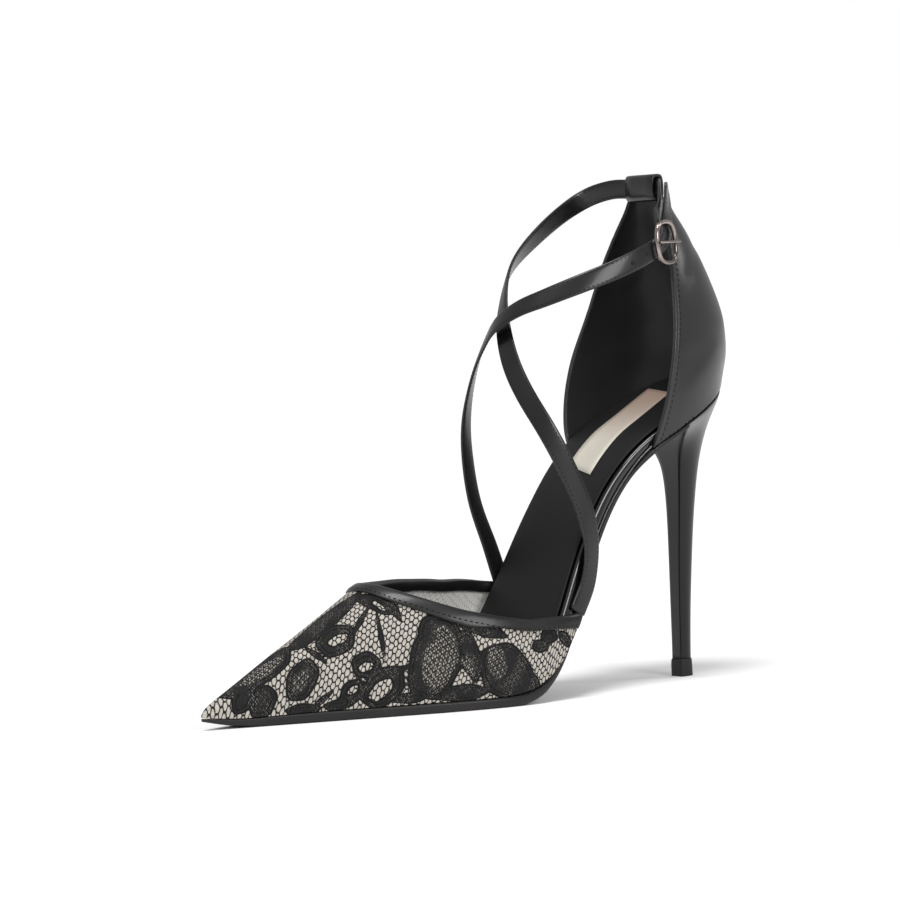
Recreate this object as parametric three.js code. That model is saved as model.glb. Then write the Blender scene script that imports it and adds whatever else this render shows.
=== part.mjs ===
import * as THREE from 'three';

// Black pointed stiletto shoe with a lace covered vamp, an open waist,
// a high heel counter and two ankle straps that cross over the instep.
// Millimetres, +Z up. The toe points along -Y and +X is the outer side
// of a left shoe. The origin is under the heel tip, on the floor.

// Overall sizes
const TOE_REACH = 196.8;
const SEAT_BACK = 18.6;
const SEAT_HEIGHT = 107.2;
const BALL_HALF = 31.6;
const SEAT_HALF = 26.4;
const INSTEP_HEIGHT = 60;
const TOE_SPRING = 3.2;

// Thicknesses and clearances
const GAP = 0.3;
const OUTSOLE_THICK = 3.5;
const BOARD_THICK = 5.2;
const SOCK_THICK = 1.1;
const SOCK_INSET = 1.7;
const VAMP_WALL = 1.3;
const COUNTER_WALL = 1.8;
const BINDING_THICK = 0.7;
const BINDING_WIDTH = 4;
const BINDING_TURN_IN = 3;
const BINDING_CLEAR = 0.4;
const BINDING_END = 0.004;

// Straps, keeper and buckle
const STRAP_WIDTH = 7;
const STRAP_THICK = 1.4;
const KEEPER_LENGTH = 17;
const KEEPER_WALL = 1.1;
const BUCKLE_LENGTH = 13.6;
const BUCKLE_HEIGHT = 14.7;
const BUCKLE_WIRE = 1.9;
const PRONG_WIRE = 1.1;

// Heel column and top piece
const SHAFT_HALF = 2.85;
const SHAFT_FRONT = 1.7;
const SHAFT_BACK = 4.2;
const TOP_PIECE_HEIGHT = 5.9;
const TOP_PIECE_LIP = 0.4;

// Top of the counter's tab and the strap keeper on it, as shares of the seat height and toe reach
const COUNTER_TOP = 1.6;
const KEEPER_ALONG = 0.027;
const KEEPER_SLOT_HALF = STRAP_WIDTH / 2 + GAP;
const KEEPER_HEIGHT = COUNTER_TOP + (2 * GAP + KEEPER_SLOT_HALF + KEEPER_WALL) / SEAT_HEIGHT;

// Finish
const LEATHER = { color: 0x1b1b1d, roughness: 0.42, metalness: 0 };
const GLOSS = { color: 0x101012, roughness: 0.22, metalness: 0 };
const MATT = { color: 0x141414, roughness: 0.8, metalness: 0 };
const LACE = { color: 0x8f8a84, roughness: 0.75, metalness: 0 };
const RUBBER = { color: 0x1c1a1a, roughness: 0.6, metalness: 0 };
const METAL = { color: 0x8d8680, roughness: 0.2, metalness: 1 };

// A point from its distance across, its distance toward the toe and its height
function at(across, along, height) {
  return new THREE.Vector3(across, -along, height);
}

// A smooth function through a table, with no overshoot between its rows
function through(rows, key, value) {
  const x = rows.map((row) => row[key]);
  const y = rows.map((row) => row[value]);
  const last = x.length - 1;
  const slope = [];
  for (let i = 0; i < last; i += 1) {
    slope.push((y[i + 1] - y[i]) / (x[i + 1] - x[i]));
  }
  const tangent = y.map((_, i) => {
    if (i === 0) return slope[0];
    if (i === last) return slope[last - 1];
    if (slope[i - 1] * slope[i] <= 0) return 0;
    return 2 / (1 / slope[i - 1] + 1 / slope[i]);
  });
  return (wanted) => {
    const here = Math.min(Math.max(wanted, x[0]), x[last]);
    let i = 0;
    while (i < last - 1 && here > x[i + 1]) i += 1;
    const span = x[i + 1] - x[i];
    const t = (here - x[i]) / span;
    const a = y[i] * (1 + 2 * t) * (1 - t) * (1 - t);
    const b = y[i + 1] * (3 - 2 * t) * t * t;
    const c = tangent[i] * span * t * (1 - t) * (1 - t);
    const d = tangent[i + 1] * span * t * t * (t - 1);
    return a + b + c + d;
  };
}

// Closed bodies from grids of points
function bodyFrom(quads) {
  const positions = [];
  const index = [];
  const seen = new Map();
  const idOf = (point) => {
    const key = `${point.x.toFixed(4)},${point.y.toFixed(4)},${point.z.toFixed(4)}`;
    if (!seen.has(key)) {
      seen.set(key, positions.length / 3);
      positions.push(point.x, point.y, point.z);
    }
    return seen.get(key);
  };
  const addTriangle = (a, b, c) => {
    const ids = [idOf(a), idOf(b), idOf(c)];
    if (new Set(ids).size === 3) index.push(...ids);
  };
  quads.forEach(([a, b, c, d]) => {
    if (a.distanceTo(c) <= b.distanceTo(d)) {
      addTriangle(a, b, c);
      addTriangle(a, c, d);
    } else {
      addTriangle(a, b, d);
      addTriangle(b, c, d);
    }
  });
  let volume = 0;
  const corner = (id) => new THREE.Vector3(...positions.slice(3 * id, 3 * id + 3));
  for (let i = 0; i < index.length; i += 3) {
    const [a, b, c] = [corner(index[i]), corner(index[i + 1]), corner(index[i + 2])];
    volume += a.dot(b.cross(c));
  }
  if (volume < 0) {
    for (let i = 0; i < index.length; i += 3) {
      [index[i + 1], index[i + 2]] = [index[i + 2], index[i + 1]];
    }
  }
  const geometry = new THREE.BufferGeometry();
  geometry.setAttribute('position', new THREE.Float32BufferAttribute(positions, 3));
  geometry.setIndex(index);
  geometry.computeVertexNormals();
  return geometry;
}

// A solid lofted through closed rings, capped at both ends from a middle point
function loft(rings) {
  const quads = [];
  for (let i = 0; i + 1 < rings.length; i += 1) {
    rings[i].forEach((point, j) => {
      const k = (j + 1) % rings[i].length;
      quads.push([point, rings[i][k], rings[i + 1][k], rings[i + 1][j]]);
    });
  }
  const cap = (ring, flip) => {
    const middle = new THREE.Vector3();
    ring.forEach((point) => middle.addScaledVector(point, 1 / ring.length));
    ring.forEach((point, j) => {
      const next = ring[(j + 1) % ring.length];
      quads.push(flip ? [next, point, middle, middle] : [point, next, middle, middle]);
    });
  };
  cap(rings[0], true);
  cap(rings[rings.length - 1], false);
  return bodyFrom(quads);
}

// A ring shaped solid lofted through closed rings that come back to the first
function hoop(rings) {
  const quads = [];
  rings.forEach((ring, i) => {
    const other = rings[(i + 1) % rings.length];
    ring.forEach((point, j) => {
      const k = (j + 1) % ring.length;
      quads.push([point, ring[k], other[k], other[j]]);
    });
  });
  return bodyFrom(quads);
}

// A wall between an outer and an inner grid, closed along its four edges
function shell(outer, inner) {
  const quads = [];
  const rows = outer.length;
  const columns = outer[0].length;
  for (let i = 0; i + 1 < rows; i += 1) {
    for (let j = 0; j + 1 < columns; j += 1) {
      quads.push([outer[i][j], outer[i][j + 1], outer[i + 1][j + 1], outer[i + 1][j]]);
      quads.push([inner[i][j], inner[i + 1][j], inner[i + 1][j + 1], inner[i][j + 1]]);
    }
    const e = columns - 1;
    quads.push([outer[i][0], outer[i + 1][0], inner[i + 1][0], inner[i][0]]);
    quads.push([outer[i + 1][e], outer[i][e], inner[i][e], inner[i + 1][e]]);
  }
  for (let j = 0; j + 1 < columns; j += 1) {
    const e = rows - 1;
    quads.push([outer[0][j + 1], outer[0][j], inner[0][j], inner[0][j + 1]]);
    quads.push([outer[e][j], outer[e][j + 1], inner[e][j + 1], inner[e][j]]);
  }
  return bodyFrom(quads);
}

// Even steps from 0 to 1
function steps(count) {
  return Array.from({ length: count + 1 }, (_, i) => i / count);
}

// Deck: the line along the top of the outsole, flat under the ball of the foot
const TREAD_BACK = 0.473 * TOE_REACH;
const ARCH = [
  { along: -1.3 * SEAT_BACK / TOE_REACH, rise: 1.028 },
  { along: -SEAT_BACK / TOE_REACH, rise: 1 },
  { along: 0, rise: 0.9074 },
  { along: 0.07, rise: 0.838 },
  { along: 0.128, rise: 0.781 },
  { along: 0.151, rise: 0.743 },
  { along: 0.171, rise: 0.703 },
  { along: 0.199, rise: 0.637 },
  { along: 0.216, rise: 0.592 },
  { along: 0.248, rise: 0.491 },
  { along: 0.281, rise: 0.376 },
  { along: 0.311, rise: 0.27 },
  { along: 0.331, rise: 0.205 },
  { along: 0.351, rise: 0.146 },
  { along: 0.371, rise: 0.0965 },
  { along: 0.391, rise: 0.059 },
  { along: 0.412, rise: 0.0305 },
  { along: 0.432, rise: 0.0125 },
  { along: 0.452, rise: 0.0032 },
  { along: 0.473, rise: 0 },
];
const archRise = through(ARCH, 'along', 'rise');

// Outsole thickness: thin at the waist and toe, full under the ball of the foot
const OUTSOLE = [
  { along: 0, thick: 0.5 },
  { along: 0.31, thick: 0.56 },
  { along: 0.38, thick: 0.76 },
  { along: 0.44, thick: 0.97 },
  { along: 0.473, thick: 1 },
  { along: 0.8, thick: 1 },
  { along: 0.86, thick: 0.95 },
  { along: 0.91, thick: 0.8 },
  { along: 0.945, thick: 0.68 },
  { along: 0.98, thick: 0.42 },
  { along: 1, thick: 0.27 },
];
const outsoleShare = through(OUTSOLE, 'along', 'thick');

// Toe spring: the underside leaves the floor only close to the tip
const SPRING = [
  { along: 0.885, rise: 0 },
  { along: 0.93, rise: 0.12 },
  { along: 0.96, rise: 0.42 },
  { along: 0.985, rise: 0.78 },
  { along: 1, rise: 1 },
];
const springRise = through(SPRING, 'along', 'rise');

function undersideRise(along) {
  return TOE_SPRING * springRise(along / TOE_REACH);
}

function deckHeight(along) {
  if (along <= TREAD_BACK) {
    return OUTSOLE_THICK + archRise(along / TOE_REACH) * (SEAT_HEIGHT - OUTSOLE_THICK);
  }
  return OUTSOLE_THICK * outsoleShare(along / TOE_REACH) + undersideRise(along);
}

// A point on the deck, pushed off it square by a height
function onDeck(across, along, off) {
  const step = 0.5;
  const run = new THREE.Vector2(2 * step, deckHeight(along + step) - deckHeight(along - step));
  run.normalize();
  return at(across, along - run.y * off, deckHeight(along) + run.x * off);
}

// Feather line: the outline where the upper meets the sole, as shares of the ball half width
const OUTLINE = [
  { along: 0.045, outer: 0.835, inner: 0.835 },
  { along: 0.09, outer: 0.842, inner: 0.842 },
  { along: 0.128, outer: 0.832, inner: 0.84 },
  { along: 0.156, outer: 0.785, inner: 0.79 },
  { along: 0.2, outer: 0.74, inner: 0.742 },
  { along: 0.231, outer: 0.742, inner: 0.742 },
  { along: 0.266, outer: 0.784, inner: 0.78 },
  { along: 0.301, outer: 0.895, inner: 0.88 },
  { along: 0.331, outer: 0.955, inner: 0.945 },
  { along: 0.366, outer: 0.985, inner: 0.985 },
  { along: 0.412, outer: 1.0, inner: 1.022 },
  { along: 0.462, outer: 1.0, inner: 1.055 },
  { along: 0.512, outer: 0.955, inner: 1.062 },
  { along: 0.562, outer: 0.87, inner: 1.025 },
  { along: 0.612, outer: 0.765, inner: 0.95 },
  { along: 0.673, outer: 0.612, inner: 0.84 },
  { along: 0.748, outer: 0.42, inner: 0.69 },
  { along: 0.828, outer: 0.214, inner: 0.562 },
  { along: 0.894, outer: 0.05, inner: 0.45 },
  { along: 0.944, outer: -0.075, inner: 0.355 },
  { along: 0.98, outer: -0.155, inner: 0.282 },
  { along: 1, outer: -0.18, inner: 0.258 },
];
const outlineOuter = through(OUTLINE, 'along', 'outer');
const outlineInner = through(OUTLINE, 'along', 'inner');
const SEAT_MIDDLE = 0.045 * TOE_REACH;
const NOSE_LENGTH = 0.0183 * TOE_REACH;

// Middle line and half width of the outline, drawn in by an inset all the way round
function outlineAt(along, inset) {
  const share = Math.min(Math.max(along / TOE_REACH, OUTLINE[0].along), 1);
  const outer = outlineOuter(share) * BALL_HALF;
  const inner = outlineInner(share) * BALL_HALF;
  const middle = (outer - inner) / 2;
  const fullHalf = (outer + inner) / 2;
  const back = SEAT_MIDDLE + SEAT_BACK - inset;
  const toe = NOSE_LENGTH;
  const past = (SEAT_MIDDLE - along) / back;
  const nose = (along - (TOE_REACH - inset - toe)) / toe;
  let half = fullHalf - inset;
  if (past > 0) half *= Math.sqrt(Math.max(0, 1 - past * past));
  if (nose > 0) half *= Math.sqrt(Math.max(0, 1 - nose * nose));
  return { middle, half: Math.max(half, 0) };
}

// Outsole: flush with the upper, tucked under it at the waist, up to the heel breast
const HEEL_FRONT = 0.484;
const OUTSOLE_LIP = 0.5;
const OUTSOLE_TUCK = [
  { along: 0, inset: 0.2 },
  { along: 0.13, inset: 0.4 },
  { along: 0.17, inset: 2.2 },
  { along: 0.25, inset: 2.4 },
  { along: 0.3, inset: 4.5 },
  { along: 0.331, inset: 3.4 },
  { along: 0.37, inset: 1.6 },
  { along: 0.42, inset: 0 },
  { along: 1, inset: 0 },
];
const outsoleTuck = through(OUTSOLE_TUCK, 'along', 'inset');

function outsoleRing(along) {
  const share = along / TOE_REACH;
  const thick = outsoleShare(share) * OUTSOLE_THICK;
  const lip = share > 0.4 ? OUTSOLE_LIP : 0;
  const { middle, half } = outlineAt(along, outsoleTuck(share));
  const wide = half + (half > 0 ? lip * Math.min(1, half / 3) : 0);
  const edge = [
    [1, 0, 0],
    [1, 0, 0.45],
    [1, 0.25, 0.82],
    [1, 0.9, 1],
    [0, 0, 1],
    [-1, 0.9, 1],
    [-1, 0.25, 0.82],
    [-1, 0, 0.45],
    [-1, 0, 0],
    [0, 0, 0],
  ];
  return edge.map(([side, inset, depth]) => {
    const reach = side * Math.max(wide - inset, wide * 0.4);
    return onDeck(middle + reach, along, -thick * depth);
  });
}

function makeOutsole() {
  const start = HEEL_FRONT * SEAT_BACK + 2 * GAP;
  const alongs = [];
  const body = 40;
  for (let i = 0; i <= body; i += 1) {
    alongs.push(start + (i / body) * (TOE_REACH - NOSE_LENGTH - start));
  }
  [0.35, 0.65, 0.86, 0.97].forEach((share) => {
    alongs.push(TOE_REACH - NOSE_LENGTH * (1 - share));
  });
  return loft(alongs.map(outsoleRing));
}

// Insole board: inside the counter and the vamp, bare at the open waist
const BOARD = [
  { along: -0.1, thick: 0.68, inset: 2.3 },
  { along: 0.08, thick: 0.69, inset: 2.5 },
  { along: 0.14, thick: 0.7, inset: 2.7 },
  { along: 0.165, thick: 0.82, inset: 1.7 },
  { along: 0.25, thick: 0.98, inset: 1.7 },
  { along: 0.27, thick: 1, inset: 2.3 },
  { along: 0.301, thick: 1, inset: 4 },
  { along: 0.331, thick: 0.96, inset: 4.2 },
  { along: 0.4, thick: 0.74, inset: 3.6 },
  { along: 0.48, thick: 0.56, inset: 3.3 },
  { along: 1, thick: 0.5, inset: 3.3 },
];
const boardShare = through(BOARD, 'along', 'thick');
const boardInset = through(BOARD, 'along', 'inset');
const BOARD_END = 0.9 * TOE_REACH;

function boardTop(along) {
  return GAP + boardShare(along / TOE_REACH) * BOARD_THICK;
}

function boardRing(along) {
  const thick = boardShare(along / TOE_REACH) * BOARD_THICK;
  const { middle, half } = outlineAt(along, boardInset(along / TOE_REACH));
  const edge = [
    [1, 0.5, 0],
    [1, 0.05, 0.3],
    [1, 0.1, 0.68],
    [1, 0.5, 0.92],
    [1, 1.5, 1],
    [0, 0, 1],
    [-1, 1.5, 1],
    [-1, 0.5, 0.92],
    [-1, 0.1, 0.68],
    [-1, 0.05, 0.3],
    [-1, 0.5, 0],
    [0, 0, 0],
  ];
  return edge.map(([side, inset, rise]) => {
    const reach = side * Math.max(half - inset, half * 0.4);
    return onDeck(middle + reach, along, GAP + thick * rise);
  });
}

// Stations from a rounded back end to a front, closer together round the back
function seatStations(back, front, count) {
  const round = [0.02, 0.08, 0.2, 0.36, 0.56, 0.78];
  const turn = SEAT_MIDDLE - back;
  const list = round.map((share) => back + turn * share);
  for (let i = 0; i <= count; i += 1) {
    list.push(SEAT_MIDDLE + (i / count) * (front - SEAT_MIDDLE));
  }
  return list;
}

function makeBoard() {
  const back = -(SEAT_BACK - boardInset(-0.1));
  return loft(seatStations(back, BOARD_END, 34).map(boardRing));
}

// Sock: a thin pad on the board, from the seat into the toe
const SOCK_END = 0.78 * TOE_REACH;

function sockRing(along) {
  const base = boardTop(along) + GAP;
  const { middle, half } = outlineAt(along, boardInset(along / TOE_REACH) + SOCK_INSET);
  const edge = [
    [1, 0, 0],
    [1, 0.1, 0.6],
    [1, 0.8, 1],
    [0, 0, 1],
    [-1, 0.8, 1],
    [-1, 0.1, 0.6],
    [-1, 0, 0],
    [0, 0, 0],
  ];
  return edge.map(([side, inset, rise]) => {
    const reach = side * Math.max(half - inset, half * 0.4);
    return onDeck(middle + reach, along, base + SOCK_THICK * rise);
  });
}

function makeSock() {
  const back = -(SEAT_BACK - boardInset(-0.1) - SOCK_INSET);
  return loft(seatStations(back, SOCK_END, 28).map(sockRing));
}

// Vamp: the last's surface over the toe, a half turn from outer to inner feather line
const CROWN = [
  { along: 0.25, rise: 1 },
  { along: 0.387, rise: 0.995 },
  { along: 0.453, rise: 0.965 },
  { along: 0.503, rise: 0.925 },
  { along: 0.553, rise: 0.868 },
  { along: 0.604, rise: 0.792 },
  { along: 0.67, rise: 0.672 },
  { along: 0.749, rise: 0.522 },
  { along: 0.808, rise: 0.408 },
  { along: 0.868, rise: 0.3 },
  { along: 0.909, rise: 0.225 },
  { along: 0.94, rise: 0.165 },
  { along: 0.972, rise: 0.098 },
  { along: 1, rise: 0.04 },
];
const crownRise = through(CROWN, 'along', 'rise');
const SIDE_BULGE = 1.5;

function lastPoint(along, turn, inset) {
  const { middle, half } = outlineAt(along, inset);
  const toe = TOE_REACH - inset;
  const nose = Math.max(0, (along - (toe - NOSE_LENGTH)) / NOSE_LENGTH);
  const close = Math.sqrt(Math.max(0, 1 - nose * nose));
  const crown = Math.max(0, crownRise(along / TOE_REACH) * INSTEP_HEIGHT - 1.15 * inset) * close;
  const angle = Math.PI * turn;
  const bulge = SIDE_BULGE * Math.min(1, half / BALL_HALF) * Math.abs(Math.sin(2 * angle));
  const side = Math.cos(angle);
  const across = middle + half * side + Math.sign(side) * bulge;
  return at(across, along, deckHeight(along) + GAP + crown * Math.sin(angle));
}

// Topline: how far back the vamp reaches at each share of the half turn
const TOPLINE = [
  { turn: 0, along: 0.32 },
  { turn: 0.05, along: 0.35 },
  { turn: 0.1, along: 0.389 },
  { turn: 0.14, along: 0.449 },
  { turn: 0.166, along: 0.508 },
  { turn: 0.2, along: 0.558 },
  { turn: 0.255, along: 0.604 },
  { turn: 0.325, along: 0.639 },
  { turn: 0.39, along: 0.657 },
  { turn: 0.5, along: 0.669 },
  { turn: 0.605, along: 0.656 },
  { turn: 0.665, along: 0.626 },
  { turn: 0.714, along: 0.581 },
  { turn: 0.752, along: 0.516 },
  { turn: 0.784, along: 0.446 },
  { turn: 0.845, along: 0.38 },
  { turn: 0.95, along: 0.32 },
  { turn: 1, along: 0.295 },
];
const toplineAlong = through(TOPLINE, 'turn', 'along');

function toplinePoint(turn) {
  return lastPoint(toplineAlong(turn) * TOE_REACH, turn, 0);
}

// Turns that split the topline into equal lengths
function evenTurns(count) {
  const fine = steps(600);
  const points = fine.map(toplinePoint);
  const run = [0];
  for (let i = 1; i < points.length; i += 1) {
    run.push(run[i - 1] + points[i].distanceTo(points[i - 1]));
  }
  const total = run[run.length - 1];
  return steps(count).map((share) => {
    const goal = share * total;
    let i = 1;
    while (i < run.length - 1 && run[i] < goal) i += 1;
    const part = (goal - run[i - 1]) / (run[i] - run[i - 1]);
    return fine[i - 1] + (fine[i] - fine[i - 1]) * Math.min(Math.max(part, 0), 1);
  });
}

const VAMP_COLUMNS = 42;

// Rows from the toe tip at 0 to the topline at 1, closer together at both ends
const VAMP_ROWS = [
  0, 0.005, 0.015, 0.034, 0.065, 0.11, 0.17, 0.245, 0.335,
  0.435, 0.54, 0.64, 0.73, 0.81, 0.88, 0.93, 0.97, 1,
];

function makeVamp() {
  const turns = evenTurns(VAMP_COLUMNS);
  const surface = (inset) => VAMP_ROWS.map((share) => {
    const toe = TOE_REACH - inset;
    return turns.map((turn) => {
      const back = toplineAlong(turn) * TOE_REACH;
      return lastPoint(toe + (back - toe) * share, turn, inset);
    });
  });
  return shell(surface(0), surface(VAMP_WALL));
}

// A point beside the topline: down the vamp's surface from it, then off the surface
function besideTopline(turn, below, off) {
  const back = toplineAlong(turn) * TOE_REACH;
  const small = 0.002;
  const step = 0.5;
  const low = Math.max(turn - small, 0);
  const high = Math.min(turn + small, 1);
  const ahead = toplinePoint(high).sub(toplinePoint(low)).normalize();
  const round = lastPoint(back, high, 0).sub(lastPoint(back, low, 0));
  const forward = lastPoint(back + step, turn, 0).sub(lastPoint(back - step, turn, 0));
  forward.divideScalar(2 * step);
  const out = round.clone().cross(forward).normalize();
  const square = forward.clone().addScaledVector(ahead, -forward.dot(ahead)).length();
  return lastPoint(back + below / square, turn, 0).addScaledVector(out, off);
}

// Binding: a folded band that hooks over the vamp's topline
function makeBinding() {
  const outer = BINDING_CLEAR;
  const inner = -VAMP_WALL - 2 * BINDING_CLEAR;
  const top = -GAP;
  const thick = BINDING_THICK;
  const edge = 0.6 * thick;
  const outside = [
    [outer + edge, BINDING_WIDTH],
    [outer + thick, BINDING_WIDTH - edge],
    [outer + thick, 0],
    [outer, top - thick],
    [inner, top - thick],
    [inner - thick, 0],
    [inner - thick, BINDING_TURN_IN],
  ];
  const slot = [
    [outer, BINDING_WIDTH],
    [outer, BINDING_WIDTH - edge],
    [outer, 0],
    [outer, top],
    [inner, top],
    [inner, 0],
    [inner, BINDING_TURN_IN],
  ];
  const turns = evenTurns(VAMP_COLUMNS);
  turns[0] = BINDING_END;
  turns[turns.length - 1] = 1 - BINDING_END;
  const surface = (profile) => turns.map((turn) => (
    profile.map(([off, below]) => besideTopline(turn, below, off))
  ));
  return shell(surface(outside), surface(slot));
}

// Counter: a high hollow quarter, wide at the heel and drawn in to a tab at the top.
// Widths are shares of the seat's half width, lengths of its back, heights of the seat
// height, and follow is how closely a level keeps to the slope of the deck.
const COUNTER = [
  { level: 0, height: 1, half: 1, middle: 0.484, back: 1, outer: 1.371, inner: 1.452, follow: 1 },
  { level: 0.1, height: 1.045, half: 1.045, middle: 0.591, back: 1.108, outer: 1.194, inner: 1.505, follow: 0.893 },
  { level: 0.22, height: 1.117, half: 1.083, middle: 0.699, back: 1.183, outer: 1.022, inner: 1.409, follow: 0.738 },
  { level: 0.34, height: 1.191, half: 1.083, middle: 0.753, back: 1.161, outer: 0.882, inner: 1.199, follow: 0.583 },
  { level: 0.46, height: 1.271, half: 1.034, middle: 0.753, back: 1.043, outer: 0.763, inner: 0.892, follow: 0.427 },
  { level: 0.58, height: 1.352, half: 0.947, middle: 0.688, back: 0.86, outer: 0.656, inner: 0.677, follow: 0.291 },
  { level: 0.7, height: 1.428, half: 0.814, middle: 0.565, back: 0.661, outer: 0.538, inner: 0.538, follow: 0.155 },
  { level: 0.81, height: 1.497, half: 0.652, middle: 0.446, back: 0.457, outer: 0.473, inner: 0.452, follow: 0.078 },
  { level: 0.91, height: 1.555, half: 0.492, middle: 0.366, back: 0.258, outer: 0.371, inner: 0.371, follow: 0.019 },
  { level: 1, height: COUNTER_TOP, half: 0.36, middle: 0.312, back: 0.086, outer: 0.312, inner: 0.312, follow: 0 },
];
const COUNTER_COLUMNS = ['height', 'half', 'middle', 'back', 'outer', 'inner', 'follow'];
const counterCurves = Object.fromEntries(
  COUNTER_COLUMNS.map((name) => [name, through(COUNTER, 'level', name)]),
);
const SIDE_REACH = 3.33 * SEAT_BACK;
const EDGE_CROWDING = 0.8;

// A point of the counter: level from the seat up, sweep from inner to outer front edge
function counterPoint(level, sweep, inset) {
  const row = Object.fromEntries(COUNTER_COLUMNS.map((name) => [name, counterCurves[name](level)]));
  const middle = row.middle * SEAT_BACK;
  const half = row.half * SEAT_HALF - inset;
  const deep = middle + row.back * SEAT_BACK - inset;
  const front = (sweep > 0 ? row.outer : row.inner) * SEAT_BACK;
  const ahead = (front - middle) / SIDE_REACH;
  const limit = Math.PI / 2 + Math.asin(ahead);
  const angle = sweep * limit;
  const reach = Math.cos(angle) > 0 ? deep : SIDE_REACH;
  const along = middle - reach * Math.cos(angle);
  const fall = row.follow * (SEAT_HEIGHT - deckHeight(along));
  return at(half * Math.sin(angle), along, row.height * SEAT_HEIGHT - fall + GAP);
}

function makeCounter() {
  const surface = (inset) => steps(17).map((level) => steps(24).map((share) => {
    const sweep = 2 * share - 1;
    return counterPoint(level, Math.sign(sweep) * Math.abs(sweep) ** EDGE_CROWDING, inset);
  }));
  return shell(surface(0), surface(COUNTER_WALL));
}

// Heel: a seat that fits the deck, drawn in to a slender column with a flat breast
const HEEL = [
  { height: 0.9085, half: 0.962, front: HEEL_FRONT, middle: 0.333, back: 0.968, follow: 1 },
  { height: 0.887, half: 0.883, front: 0.43, middle: 0.247, back: 0.935, follow: 0.89 },
  { height: 0.859, half: 0.727, front: 0.333, middle: 0.151, back: 0.887, follow: 0.755 },
  { height: 0.826, half: 0.545, front: 0.215, middle: 0.043, back: 0.823, follow: 0.58 },
  { height: 0.789, half: 0.386, front: 0.113, middle: -0.043, back: 0.753, follow: 0.387 },
  { height: 0.747, half: 0.277, front: 0.043, middle: -0.086, back: 0.688, follow: 0.232 },
  { height: 0.7, half: 0.212, front: 0, middle: -0.102, back: 0.618, follow: 0.097 },
  { height: 0.634, half: 0.18, front: -0.011, middle: -0.097, back: 0.548, follow: 0 },
  { height: 0.56, half: 0.157, front: -0.005, middle: -0.081, back: 0.484, follow: 0 },
  { height: 0.466, half: 0.138, front: 0.016, middle: -0.059, back: 0.419, follow: 0 },
  { height: 0.373, half: 0.125, front: 0.038, middle: -0.043, back: 0.366, follow: 0 },
  { height: 0.233, half: 0.114, front: 0.065, middle: -0.022, back: 0.285, follow: 0 },
  { height: 0.112, half: 0.108, front: 0.081, middle: -0.005, back: 0.242, follow: 0 },
];

// A section with a flat front and a round back
function shaftRing(half, front, middle, back, heightAt) {
  const ring = [[-half, front], [0, front], [half, front]];
  const arc = 14;
  for (let i = 0; i <= arc; i += 1) {
    const angle = (Math.PI * i) / arc;
    ring.push([half * Math.cos(angle), middle - (middle + back) * Math.sin(angle)]);
  }
  return ring.map(([across, along]) => at(across, along, heightAt(along)));
}

function makeHeel() {
  const foot = TOP_PIECE_HEIGHT + GAP;
  const rings = HEEL.map((row, i) => {
    const level = (along) => row.height * SEAT_HEIGHT + row.follow * (deckHeight(along) - deckHeight(0));
    const seat = (along) => deckHeight(along) - GAP;
    const [front, middle, back] = [row.front, row.middle, row.back].map((share) => share * SEAT_BACK);
    return shaftRing(row.half * SEAT_HALF, front, middle, back, i === 0 ? seat : level);
  });
  rings.push(shaftRing(SHAFT_HALF, SHAFT_FRONT, 0, SHAFT_BACK, () => foot));
  return loft(rings);
}

function makeTopPiece() {
  const half = SHAFT_HALF + TOP_PIECE_LIP;
  const front = SHAFT_FRONT + TOP_PIECE_LIP;
  const back = SHAFT_BACK + TOP_PIECE_LIP;
  const rings = [0, 0.5, TOP_PIECE_HEIGHT - 0.4].map((height) => (
    shaftRing(half, front, 0, back, () => height)
  ));
  rings.push(shaftRing(half - 0.3, front - 0.3, 0, back - 0.3, () => TOP_PIECE_HEIGHT));
  return loft(rings);
}

// A flat strap swept along a table of places, each with the way that its face looks
function ribbon(rows, width, thick, count) {
  const place = (row) => at(row.across * BALL_HALF, row.along * TOE_REACH, row.height * SEAT_HEIGHT);
  const spine = new THREE.CatmullRomCurve3(rows.map(place), false, 'centripetal');
  const faces = new THREE.CatmullRomCurve3(
    rows.map((row) => at(...row.face).normalize()),
    false,
    'centripetal',
  );
  const half = width / 2;
  const round = thick * 0.35;
  const section = [
    [half, -thick / 2 + round],
    [half, thick / 2 - round],
    [half - round, thick / 2],
    [-half + round, thick / 2],
    [-half, thick / 2 - round],
    [-half, -thick / 2 + round],
    [-half + round, -thick / 2],
    [half - round, -thick / 2],
  ];
  const rings = steps(count).map((share) => {
    const point = spine.getPoint(share);
    const tangent = spine.getTangent(share);
    const face = faces.getPoint(share);
    face.addScaledVector(tangent, -face.dot(tangent)).normalize();
    const side = tangent.clone().cross(face).normalize();
    return section.map(([sideways, out]) => {
      const spot = point.clone().addScaledVector(side, sideways);
      return spot.addScaledVector(face, out);
    });
  });
  return loft(rings);
}

// A strap's end beside the board at the waist, on the outer side at 1 or the inner side at -1
function besideBoard(side, along, clear) {
  const { middle, half } = outlineAt(along, boardInset(along / TOE_REACH));
  return (middle + side * (half + clear + STRAP_THICK / 2)) / BALL_HALF;
}

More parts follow.
